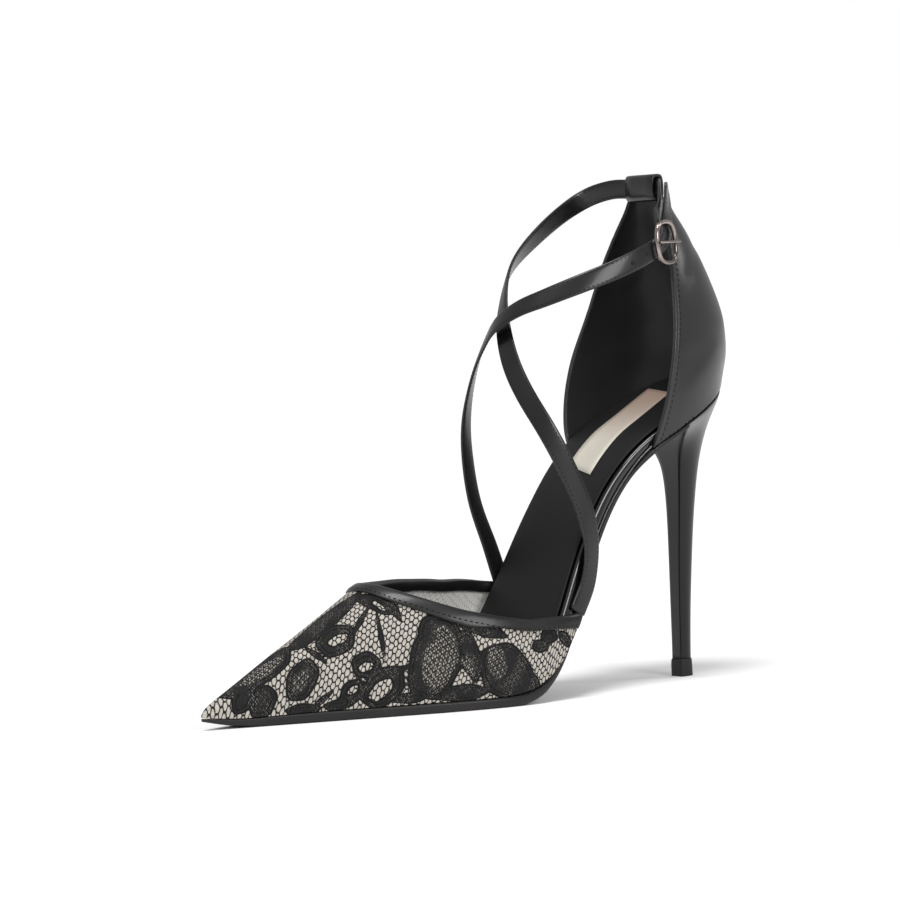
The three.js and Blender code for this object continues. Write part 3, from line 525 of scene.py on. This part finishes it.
def carried_back(tree, across, down, found=0):
    """The first point of a surface behind a place on the picture, or its face."""
    rightward, upward = picture_axes()
    right = across - (PICTURE / 2 - SHIFT_ACROSS)
    up = PICTURE / 2 + SHIFT_UP - down
    spot = LOOK_AT + rightward * (right * PIXEL) + upward * (up * PIXEL)
    return tree.ray_cast(camera.location, (spot - camera.location).normalized())[found]


def oval_frame(tree, row):
    """Centre and two half axes of a motif on the surface, or None off the vamp."""
    centre = carried_back(tree, row["across"], row["down"])
    if centre is None:
        return None
    axes = []
    for angle, size in ((row["turn"], row["long"]), (row["turn"] + 90, row["wide"])):
        reach = np.array([math.cos(math.radians(angle)), math.sin(math.radians(angle))]) * size
        for share in (0.5, -0.5, 0.2, -0.2):
            other = carried_back(tree, row["across"] + reach[0] * share, row["down"] - reach[1] * share)
            if other is not None:
                axes.append((other - centre) / share)
                break
    return (centre, *axes) if len(axes) == 2 else None


def oval_distance(points, centre, long_axis, wide_axis):
    """Distance in millimetres from points to the edge of an oval, negative inside."""
    offset = points - np.array(centre)
    basis = np.array([long_axis, wide_axis])
    shares = offset @ np.linalg.pinv(basis)
    reach = np.linalg.norm(shares, axis=1) + 1e-6
    angle = np.arctan2(shares[:, 1], shares[:, 0])
    reach = reach / (1 + 0.04 * np.sin(5 * angle + 40 * centre[1]))
    inside = shares @ basis
    distance = (1 - 1 / reach) * np.linalg.norm(inside, axis=1) / MM
    off_surface = np.linalg.norm(offset - inside, axis=1) / MM
    return np.where(off_surface > OVAL_REACH, FAR, np.clip(distance, -FAR, FAR))


def twin(frame_of_oval):
    """The same oval on the other side of the ridge."""
    centre, *axes = frame_of_oval
    middle = float(section("middle", -centre[1] / MM)) * MM
    flip = Vector((-1, 1, 1))
    return (Vector((2 * middle - centre[0], centre[1], centre[2])), *(axis * flip for axis in axes))


def outer_cloth(mesh, start):
    """Keeps the faces that join a starting face without crossing a sharp edge."""
    kept, waiting = {start}, [start]
    while waiting:
        face = waiting.pop()
        for edge in face.edges:
            if edge.calc_face_angle(math.pi) < math.radians(50):
                for other in edge.link_faces:
                    if other not in kept:
                        kept.add(other)
                        waiting.append(other)
    bmesh.ops.delete(mesh, geom=[f for f in mesh.faces if f not in kept], context="FACES")


def evaluated(thing):
    """A plain mesh of a piece with its modifiers in it."""
    bpy.context.view_layer.update()
    shown = thing.evaluated_get(bpy.context.evaluated_depsgraph_get())
    return bpy.data.meshes.new_from_object(shown)


def lined_vamp():
    mesh = welded("vamp")
    crease_edges(mesh, 50, 0.6)
    thing = rounded(piece("vamp_lining", mesh, lining_material()), 2)
    mark(thing.data, "cloth", cloth_place(corners_of(thing.data)), "FLOAT_VECTOR")
    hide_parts("vamp")


def lace_cloth():
    mesh = welded("vamp")
    mesh.faces.ensure_lookup_table()
    tree = BVHTree.FromBMesh(mesh)
    outer_cloth(mesh, mesh.faces[carried_back(tree, *CLOTH_SEEN, found=2)])
    thing = rounded(piece("lace_cloth", mesh, lace_material()), 3)
    fine = evaluated(thing)
    thing.modifiers.clear()
    old, thing.data = thing.data, fine
    bpy.data.meshes.remove(old)
    points = corners_of(fine)
    for kind in (PETAL, WINDOW, SPARSE):
        field = np.full(len(points), FAR)
        for row in MOTIFS:
            oval = oval_frame(tree, row) if row["kind"] == kind else None
            if oval:
                for side in (oval, twin(oval)):
                    field = np.minimum(field, oval_distance(points, *side))
        mark(fine, kind, field)
    mark(fine, "cloth", cloth_place(points), "FLOAT_VECTOR")
    normals = np.array([vertex.normal for vertex in fine.vertices])
    fine.vertices.foreach_set("co", (points + normals * LACE_LIFT).astype(np.float32).ravel())
    fine.update()
    return thing


lined_vamp()
lace = lace_cloth()
print("lace points", len(lace.data.vertices))

# %% [markdown]
# A strap in the model is one ring of points after another. Walking the mesh from
# its lower end finds the rings again, and with them the middle line, the way
# across and the way out, which place the thread. The lower ends go on a little
# into the sole, as the real ones are held between board and outsole.

# %% Straps
STRAP_HALF = 3.5 * MM
STRAP_SKIN_OUT = 0.64 * MM
LONG_TUCK = 3.8 * MM
SHORT_TUCK = 5.0 * MM


def rings_of(node, corners=8):
    """Rings of points along a swept solid, from its lower end to its other end."""
    mesh = bmesh.new()
    mesh.from_mesh(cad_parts[node].data)
    bmesh.ops.remove_doubles(mesh, verts=mesh.verts, dist=0.00002)
    mesh.verts.index_update()
    ends = [v for v in mesh.verts if len(v.link_edges) == corners
            and max(f.normal.angle(v.link_faces[0].normal) for f in v.link_faces) < 0.1]
    first = min(ends, key=lambda v: v.co.z)
    seen, ring, rings = {first}, [first], []
    while True:
        around = {e.other_vert(v) for v in ring for e in v.link_edges} - seen
        ring = sorted(around, key=lambda v: v.index)
        if len(ring) < corners:
            break
        seen.update(ring)
        rings.append([v.co.copy() for v in ring])
    mesh.free()
    return rings


def strap_line(node):
    """Middle, across and out at each ring of a strap."""
    rings = rings_of(node)
    middles = [sum(ring, Vector()) / len(ring) for ring in rings]
    line, last_out = [], None
    for i, (ring, middle) in enumerate(zip(rings, middles)):
        ahead = (middles[min(i + 1, len(rings) - 1)] - middles[max(i - 1, 0)]).normalized()
        across = max((a - b for a in ring for b in ring), key=lambda gap: gap.length)
        across = (across - ahead * across.dot(ahead)).normalized()
        out = ahead.cross(across).normalized()
        if last_out is not None and out.dot(last_out) < 0:
            out, across = -out, -across
        last_out = out
        line.append((middle, across, out))
    return line


def strap(node, name, tucked):
    line = strap_line(node)
    start = line[0][0]
    up = (line[1][0] - start).normalized()
    mesh = welded(node)
    for vertex in mesh.verts:
        offset = vertex.co - start
        if offset.length < 2 * STRAP_HALF and offset.dot(up) < 0.3 * MM:
            vertex.co -= up * tucked
    crease_edges(mesh, 70, 0.5)
    thing = rounded(piece(name, mesh, STRAP_SKIN), 2)
    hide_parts(node)
    return thing, line


# %% [markdown]
# Thread is a row of small oval beads, each lying along the seam and half sunk in
# the leather. One maker takes any path with its outward directions and lays a
# bead at every stitch length.

# %% Thread
STITCH_STEP = 1.75 * MM
STITCH_LONG = 1.2 * MM
STITCH_WIDE = 0.42 * MM
SEAM_STEP = 2.0 * MM
SEAM_LONG = 1.5 * MM
SEAM_WIDE = 0.62 * MM
THREAD_LIFT = -0.03 * MM
ROW_INSET = 1.05 * MM


def along_path(points, outs, step):
    """Evenly spaced places, directions and outs along a path."""
    gone, due = 0.0, step / 2
    for i in range(len(points) - 1):
        a, b = points[i], points[i + 1]
        length = (b - a).length
        while due < gone + length:
            share = (due - gone) / length
            yield a.lerp(b, share), (b - a).normalized(), outs[i].lerp(outs[i + 1], share).normalized()
            due += step
        gone += length


def surface_of(thing):
    """A search tree of a piece as it is shown, with its modifiers."""
    bpy.context.view_layer.update()
    return BVHTree.FromObject(thing, bpy.context.evaluated_depsgraph_get())


def sew(name, rows, slot, under, long=STITCH_LONG, wide=STITCH_WIDE, step=STITCH_STEP):
    mesh = bmesh.new()
    tree = surface_of(under)
    count = 0
    for points, outs in rows:
        for place, ahead, out in along_path(points, outs, step):
            place = tree.find_nearest(place)[0] + out * THREAD_LIFT
            side = ahead.cross(out).normalized()
            bead = bmesh.ops.create_icosphere(mesh, subdivisions=1, radius=0.5)["verts"]
            for vertex in bead:
                x, y, z = vertex.co
                vertex.co = place + ahead * (x * long) + side * (y * wide) + out * (z * wide * 0.45)
            count += 1
    piece(name, mesh, THREAD)
    print(name, "stitches", count)


def strap_rows(line, skip_start=2, skip_end=1):
    rows = []
    used = line[skip_start:len(line) - skip_end]
    for side in (-1, 1):
        for face in (-1, 1):
            inset = side * (STRAP_HALF - ROW_INSET)
            points = [middle + across * inset + out * (face * STRAP_SKIN_OUT) for middle, across, out in used]
            rows.append((points, [out * face for _, _, out in used]))
    return rows


long_strap, long_line = strap("strap_outer_rise", "long_strap", LONG_TUCK)
buckled_strap, buckled_line = strap("strap_inner_rise", "buckled_strap", SHORT_TUCK)
sew("long_strap_thread", strap_rows(long_line), "strap_leather", long_strap)
sew("buckled_strap_thread", strap_rows(buckled_line), "strap_leather", buckled_strap)

# %% [markdown]
# The quarter's front edge is turned in and top stitched. Its rim is the border
# of the outer side, found by growing from one face over all soft edges.
# The distance to that rim drives a fine groove in the finish.

# %% Quarter
GROOVE_AT = 1.25
STITCH_INSET = 2.1 * MM
BINDING_INSET = 2.9 * MM
BINDING_OUT = 1.5 * MM


def quarter_material():
    finish = Finish("quarter_leather")
    rim = attribute(finish, "rim", 2)
    slow = finish.noise(45, detail=4)
    low = finish.noise(16, detail=2)
    inside = attribute(finish, "inside", 2)
    colour = finish.mix(slow.ramp(0.35, 0.7), rgb(17, 17, 18), rgb(26, 24, 24))
    colour = finish.mix(inside, colour, rgb(6, 6, 6))
    finish.set(Base_Color=colour, Roughness=slow * 0.1 + low * 0.08 + 0.24 + inside * 0.35)
    finish.set(Coat_Weight=0.22, Coat_Roughness=0.22, Specular_IOR_Level=0.45)
    groove = 1 - (rim - GROOVE_AT).math("ABSOLUTE").ramp(0.0, 0.45)
    ripple = finish.noise(75, detail=2, stretch=(0.5, 0.5, 1.6))
    finish.bump(groove * -1.0 + finish.noise(420, detail=5) * 0.12 + ripple * 0.8, 0.35, 0.0004)
    return finish.material


def border(mesh, wanted):
    """Border points of an open sheet in order, each with its inward and outward way."""
    edges = [e for e in mesh.edges if len(e.link_faces) == 1]
    links = {}
    for edge in edges:
        for vertex in edge.verts:
            links.setdefault(vertex, []).append(edge.other_vert(vertex))
    chain = [edges[0].verts[0]]
    seen = {chain[0]}
    while True:
        onward = [v for v in links[chain[-1]] if v not in seen]
        if not onward:
            break
        chain.append(onward[0])
        seen.add(onward[0])
    found = []
    for i, vertex in enumerate(chain):
        ahead = (chain[(i + 1) % len(chain)].co - chain[i - 1].co).normalized()
        middle = sum((f.calc_center_median() for f in vertex.link_faces), Vector()) / len(vertex.link_faces)
        inward = middle - vertex.co
        inward = (inward - ahead * inward.dot(ahead)).normalized()
        found.append((vertex.co.copy(), inward, vertex.normal.copy()) if wanted(inward, vertex.co) else None)
    runs, run = [], []
    start = next((i for i, f in enumerate(found) if f is None), 0)
    for entry in found[start:] + found[:start]:
        if entry is None:
            if len(run) > 2:
                runs.append(run)
            run = []
        else:
            run.append(entry)
    return runs + ([run] if len(run) > 2 else [])


def outer_sheet(node, start):
    """The outer side of a walled node, grown from the face nearest a place."""
    mesh = welded(node)
    mesh.faces.ensure_lookup_table()
    index = BVHTree.FromBMesh(mesh).find_nearest(start)[2]
    outer_cloth(mesh, mesh.faces[index])
    return mesh


def rim_distance(points, runs):
    rim = np.array([a.lerp(b, s)[:] for run in runs for (a, *_), (b, *_) in zip(run, run[1:])
                    for s in (0, 0.2, 0.4, 0.6, 0.8)])
    return np.array([np.sqrt(((rim - point) ** 2).sum(axis=1).min()) for point in points]) / MM


OUTSIDE_POINT = Vector((0.05, 0.0, 0.125))
BACK_SEAM = {"behind": -4 * MM, "below": 120 * MM}


def is_stitched(inward, place):
    """The front edge and the tab, but not the seam that sits on the heel."""
    on_heel = place.y > BACK_SEAM["behind"] and place.z < BACK_SEAM["below"]
    return inward.z < 0.45 and not on_heel


TAB_RISE = 1.7 * MM
quarter_sheet = outer_sheet("counter", OUTSIDE_POINT)
quarter_runs = border(quarter_sheet, is_stitched)
quarter_sheet.free()


# %% [markdown]
# New leather that is drawn over a heel still has a few soft folds. Each row is
# one: from a low to a high place on the side, in shares of the quarter's own
# height and depth, with its width and its depth in millimetres. A trough is
# negative and a ridge positive, and both sides of the shoe get them.

# %% Folds in the quarter
FOLDS = [
    {"side": 1, "low_back": 0.62, "low_up": 0.10,
     "high_back": 0.20, "high_up": 0.30, "wide": 4.5, "deep": -0.35},
    {"side": 1, "low_back": 0.70, "low_up": 0.20,
     "high_back": 0.34, "high_up": 0.40, "wide": 4.0, "deep": 0.25},
    {"side": 1, "low_back": 0.50, "low_up": 0.70,
     "high_back": 0.30, "high_up": 0.82, "wide": 3.0, "deep": -0.25},
    {"side": -1, "low_back": 0.60, "low_up": 0.12,
     "high_back": 0.22, "high_up": 0.28, "wide": 4.5, "deep": -0.3},
    {"side": -1, "low_back": 0.50, "low_up": 0.66,
     "high_back": 0.32, "high_up": 0.80, "wide": 3.0, "deep": -0.25},
]


def folds_at(points):
    """How far each point moves out, in metres, from the table of folds."""
    low, high = (np.array(corner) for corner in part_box("counter"))
    moved = np.zeros(len(points))
    flat = points[:, 1:]
    for row in FOLDS:
        ends = []
        for end in ("low", "high"):
            share = np.array([1 - row[end + "_back"], row[end + "_up"]])
            ends.append(low[1:] + share * (high - low)[1:])
        run = ends[1] - ends[0]
        share = np.clip((flat - ends[0]) @ run / (run @ run), 0, 1)
        gap = np.linalg.norm(flat - ends[0] - share[:, None] * run, axis=1) / MM
        fade = np.exp(-(gap / row["wide"]) ** 2) * (points[:, 0] * row["side"] > 0)
        moved += row["deep"] * MM * fade
    return moved


def quarter():
    mesh = welded("counter")
    raise_top(mesh, TAB_RISE)
    crease_edges(mesh, 50, 0.5)
    thing = rounded(piece("quarter", mesh, quarter_material()), 3)
    fine = evaluated(thing)
    thing.modifiers.clear()
    thing.data = fine
    points = corners_of(fine)
    normals = np.array([vertex.normal for vertex in fine.vertices])
    core = np.stack([points[:, 0] * 0, np.full(len(points), -0.012), points[:, 2]], axis=1)
    away = np.sign(np.einsum("ij,ij->i", normals, points - core))
    folded = points + normals * (folds_at(points) * away)[:, None]
    fine.vertices.foreach_set("co", folded.astype(np.float32).ravel())
    mark(fine, "rim", rim_distance(points, quarter_runs))
    mark(fine, "inside", (np.einsum("ij,ij->i", normals, points - core) < 0).astype(np.float32))
    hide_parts("counter")
    return thing


def seam_rows(runs, inset, outset):
    """Runs of a border, moved in along the surface and out from it."""
    return [([place + inward * inset + out * outset for place, inward, out in run],
             [out for _, _, out in run]) for run in runs]


SEAM = {"long": SEAM_LONG, "wide": SEAM_WIDE, "step": SEAM_STEP}
sew("quarter_thread", seam_rows(quarter_runs, STITCH_INSET, 0), "counter_leather", quarter(), **SEAM)

vamp_sheet = outer_sheet("vamp", Vector((0.05, -0.12, 0.02)))
topline_runs = border(vamp_sheet, lambda inward, place: inward.z < 0.25 and place.y > -0.15)
vamp_sheet.free()
sew("binding_thread", seam_rows(topline_runs, BINDING_INSET, BINDING_OUT), "binding_leather", binding, **SEAM)

# %% [markdown]
# A bare label strip lies on the sock from the arch to the heel. A flat grid is
# dropped onto the sock point by point, so it follows the seat, and gets a thin
# edge. Its cream turns to a warm brown toward the heel.

# %% Label strip
LABEL_FRONT, LABEL_BACK = -40.5, 0.0
LABEL_OUTER, LABEL_INNER = 6.5, -10.5
LABEL_SKEW = 2.5
LABEL_LEAN = 5.0
LABEL_LIFT = 0.25 * MM


def label_material():
    finish = Finish("label_foil")
    split = finish.tree.nodes.new("ShaderNodeSeparateXYZ")
    plug(finish.tree, split.inputs[0], finish.place())
    back = Wire(finish.tree, split.outputs[1])
    warm = back.ramp(LABEL_FRONT * MM, LABEL_BACK * MM)
    cloud = finish.noise(220, detail=3)
    colour = finish.mix(warm, rgb(214, 209, 196), rgb(168, 142, 128))
    finish.set(Base_Color=finish.mix(cloud * 0.25, colour, rgb(188, 180, 168)), Roughness=0.42)
    return finish.material


def label_strip():
    tree = surface_of(sock)
    mesh = bmesh.new()
    bmesh.ops.create_grid(mesh, x_segments=6, y_segments=24, size=0.5)
    for vertex in mesh.verts:
        side, along = vertex.co.x, vertex.co.y
        x = (LABEL_OUTER + LABEL_INNER) / 2 + side * (LABEL_OUTER - LABEL_INNER) - along * LABEL_LEAN
        y = (LABEL_FRONT + LABEL_BACK) / 2 + along * (LABEL_BACK - LABEL_FRONT) - side * LABEL_SKEW
        hit = tree.ray_cast(Vector((x * MM, y * MM, 0.2)), Vector((0, 0, -1)))
        vertex.co = hit[0] + hit[1] * LABEL_LIFT
    bmesh.ops.recalc_face_normals(mesh, faces=mesh.faces)
    thing = piece("label_strip", mesh, label_material())
    wall = thing.modifiers.new("foil", "SOLIDIFY")
    wall.thickness, wall.offset = 0.2 * MM, 0
    return thing


label_strip()

# %% [markdown]
# Punched holes show in the buckled strap. Each is painted shade: a small dark disc
# let into the leather where the hole's shadowed inside would show, with no opening
# cut. Their places are set on the picture, across and down, like the lace's.

# %% Punched holes
HOLES = [(633, 263), (647, 254), (662, 246)]
HOLE_RADIUS = 0.75 * MM


def hole_shade_discs(leather_strap, line):
    mesh = bmesh.new()
    tree = surface_of(leather_strap)
    for across, down in HOLES:
        hole = carried_back(tree, across, down)
        middle, _, out = min(line, key=lambda entry: (entry[0] - hole).length)
        if out.x < 0:
            out = -out
        centre = hole - out * (hole - middle).dot(out)
        turn = out.to_track_quat("Z", "Y").to_matrix().to_4x4()
        turn.translation = centre + out * (STRAP_SKIN_OUT - 0.02 * MM)
        bmesh.ops.create_cone(
            mesh, cap_ends=True, segments=16, radius1=HOLE_RADIUS, radius2=HOLE_RADIUS * 0.9, depth=0.16 * MM,
            matrix=turn,
        )
    # painted shade: each hole is a black disc in the thread's finish, not an opening
    return piece("strap_hole_shade", mesh, THREAD)


hole_shade_discs(buckled_strap, buckled_line)

# %% [markdown]
# A narrow piping runs along the waist where the board's cover meets the sole.
# It follows the widest points of the board's sections on either side.

# %% Waist piping
PIPING_RADIUS = 0.45 * MM


def tube(mesh, points, radius, sides=8):
    """Sweeps a small circle along points by extruding it from place to place."""
    ring = bmesh.ops.create_circle(mesh, cap_ends=False, segments=sides, radius=radius)["verts"]
    shape = [vertex.co.copy() for vertex in ring]
    mesh.edges.index_update()
    loop = sorted({edge for vertex in ring for edge in vertex.link_edges}, key=lambda edge: edge.index)
    for i, point in enumerate(points):
        ahead = (points[min(i + 1, len(points) - 1)] - points[max(i - 1, 0)]).normalized()
        turn = ahead.to_track_quat("Z", "Y")
        if i:
            made = bmesh.ops.extrude_edge_only(mesh, edges=loop)["geom"]
            ring = [g for g in made if isinstance(g, bmesh.types.BMVert)]
            loop = [g for g in made if isinstance(g, bmesh.types.BMEdge)]
            for vertex in ring:
                vertex.co = vertex.co - points[i - 1]
                vertex.co.rotate(last_turn.inverted())
                vertex.co.rotate(turn)
                vertex.co += point
        else:
            for vertex, corner in zip(ring, shape):
                vertex.co = point + turn @ corner
        last_turn = turn
    bmesh.ops.recalc_face_normals(mesh, faces=mesh.faces)


def waist_piping():
    mesh = bmesh.new()
    rings = rings_of("insole_board", corners=12)
    for side in (1, -1):
        widest = [max(ring, key=lambda p: side * p.x) for ring in rings]
        run = [p + Vector((side * 0.1 * MM, 0, -1.0 * MM)) for p in widest if -0.062 < p.y < -0.022]
        tube(mesh, run, PIPING_RADIUS)
    return rounded(piece("waist_piping", mesh, WAIST_SKIN), 1)


waist_piping()

# %% [markdown]
# Plain pale floor and soft studio light: a soft sun from above casts the one
# shadow, a softbox at the side and a small lamp behind the heel give the leather
# its sheen, and an even pale sky fills the rest.

# %% Floor and light


def make_floor():
    mesh = bmesh.new()
    bmesh.ops.create_grid(mesh, x_segments=1, y_segments=1, size=30)
    data = bpy.data.meshes.new("floor")
    mesh.to_mesh(data)
    mesh.free()
    finish = Finish("pale_floor")
    finish.set(Base_Color=(0.96, 0.96, 0.96, 1), Roughness=0.9, Specular_IOR_Level=0.0)
    data.materials.append(finish.material)
    floor = bpy.data.objects.new("floor", data)
    bpy.context.scene.collection.objects.link(floor)


def make_light(name, place, size, power):
    data = bpy.data.lights.new(name, "AREA")
    data.shape = "DISK"
    data.size = size
    data.energy = power
    lamp = bpy.data.objects.new(name, data)
    lamp.location = place
    lamp.rotation_mode = "QUATERNION"
    lamp.rotation_quaternion = (LOOK_AT - Vector(place)).to_track_quat("-Z", "Y")
    bpy.context.scene.collection.objects.link(lamp)


SKY_LIGHT = 0.54
SUN_LIGHT = 1.8


def make_sun():
    data = bpy.data.lights.new("soft_sun", "SUN")
    data.energy = SUN_LIGHT
    data.angle = math.radians(22)
    sun = bpy.data.objects.new("soft_sun", data)
    sun.rotation_mode = "QUATERNION"
    sun.rotation_quaternion = Vector((-0.22, 0.25, -1)).to_track_quat("-Z", "Y")
    bpy.context.scene.collection.objects.link(sun)


def make_sky():
    """White where the camera sees it, softer as a light."""
    world = bpy.data.worlds.new("studio")
    world.use_nodes = True
    tree = world.node_tree
    seen = tree.nodes.new("ShaderNodeLightPath")
    strength = tree.nodes.new("ShaderNodeMapRange")
    strength.inputs["To Min"].default_value = SKY_LIGHT
    strength.inputs["To Max"].default_value = 1.0
    tree.links.new(seen.outputs["Is Camera Ray"], strength.inputs["Value"])
    tree.links.new(strength.outputs[0], tree.nodes["Background"].inputs[1])
    tree.nodes["Background"].inputs[0].default_value = (1, 1, 1, 1)
    bpy.context.scene.world = world


make_floor()
make_sun()
make_sky()
make_light("side_softbox", (1.2, -0.1, 0.55), 0.5, 5)
make_light("heel_glare", (0.5, 0.9, 0.75), 0.3, 1.5)
bpy.context.scene.view_settings.view_transform = "Standard"
print("floor and lights set")
